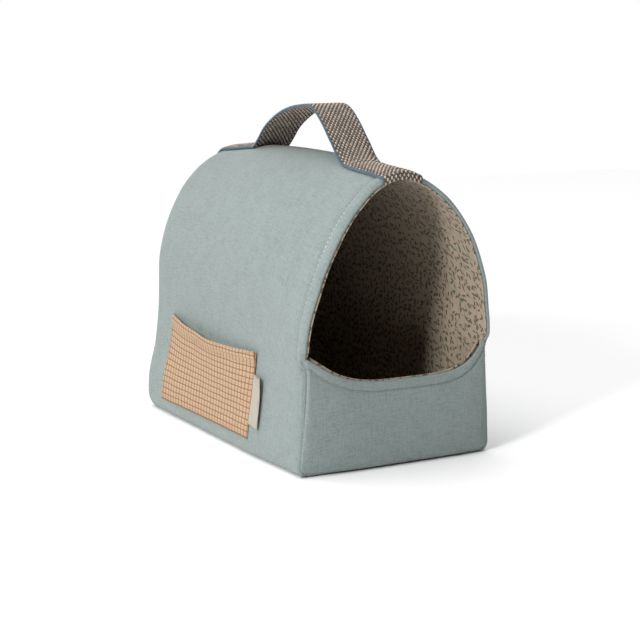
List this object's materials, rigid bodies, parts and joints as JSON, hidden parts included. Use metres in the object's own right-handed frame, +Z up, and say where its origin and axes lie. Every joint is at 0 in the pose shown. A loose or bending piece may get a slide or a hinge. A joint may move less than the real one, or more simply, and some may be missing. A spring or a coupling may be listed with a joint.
{
  "type": "toy pet carrier",
  "caption": "Soft padded tunnel carrier for a toy animal, with an open front above a low bib, a webbing handle and a checked side pocket.",
  "frame": {"origin": "middle of the flat underside", "axes": "+Z up, the open front faces -Y, the pocket is on the -X side"},
  "size_m": [0.1558, 0.2525, 0.2344],
  "materials": {
    "canvas": "dusty aqua-grey cotton canvas, plain weave",
    "batting": "white polyester batting",
    "board": "thin stiffening board",
    "print_cotton": "beige cotton with a small leaf and flower print",
    "webbing": "basket-woven cotton webbing, tan and dark yarns, blue selvedges",
    "gingham": "peach cotton with a fine rust windowpane check",
    "label_tape": "cream cotton tape",
    "thread": "sewing thread"
  },
  "bodies": {
    "root": {"outer_wrap": "canvas", "outer_bib": "canvas", "outer_back": "canvas", "outer_base": "canvas", "padding_wrap": "batting", "padding_bib": "batting", "padding_back": "batting", "padding_base": "batting", "base_board": "board", "lining_wrap": "print_cotton", "lining_bib": "print_cotton", "lining_back": "print_cotton", "lining_base": "print_cotton", "handle_front_tail": "webbing", "handle_front_flex": "webbing", "handle_rear_flex": "webbing", "handle_rear_tail": "webbing", "handle_front_stitch": "thread", "handle_rear_stitch": "thread", "pocket": "gingham", "pocket_stitch": "thread", "pocket_hem_stitch": "thread", "hem_stitch_left": "thread", "hem_stitch_right": "thread", "bib_stitch": "thread"},
    "handle": {"handle_loop": "webbing"},
    "label": {"pocket_label": "label_tape"}
  },
  "joints": [
    {"name": "handle_tilt", "type": "hinge", "parent": "root", "child": "handle", "pos_m": [0, 0, 0.2015], "axis": [0, 1, 0], "range_deg": [-35, 35], "stiffness_Nm_per_rad": 0.03, "deforming": ["handle_front_flex", "handle_rear_flex"]},
    {"name": "label_flap", "type": "hinge", "parent": "root", "child": "label", "pos_m": [-0.07608, -0.0527, 0.0225], "axis": [-0.1128, 0, -0.9936], "range_deg": [-4, 90], "stiffness_Nm_per_rad": 0.0002}
  ]
}
